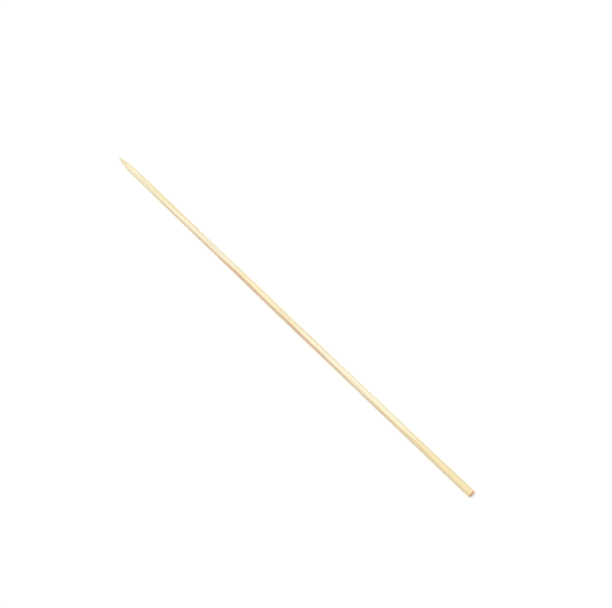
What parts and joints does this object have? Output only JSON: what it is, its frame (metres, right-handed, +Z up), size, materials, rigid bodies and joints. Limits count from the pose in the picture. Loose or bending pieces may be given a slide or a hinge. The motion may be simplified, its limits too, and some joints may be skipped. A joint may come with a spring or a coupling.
{
  "type": "bamboo skewer",
  "caption": "Round bamboo skewer, a straight slim stick ground to a point at one end and sawn square at the other, for grilling food.",
  "frame": {"origin": "the middle of the sawn end face", "axes": "+X along the stick, from the sawn end to the point; +Z up, with the stick lying level and its slight bend lying flat in the XY plane"},
  "size_m": [0.25, 0.0033, 0.003],
  "materials": {
    "bamboo": "smooth bare bamboo, satin, with fine lengthwise fibres"
  },
  "bodies": {
    "root": {"skewer": "bamboo"}
  },
  "joints": []
}
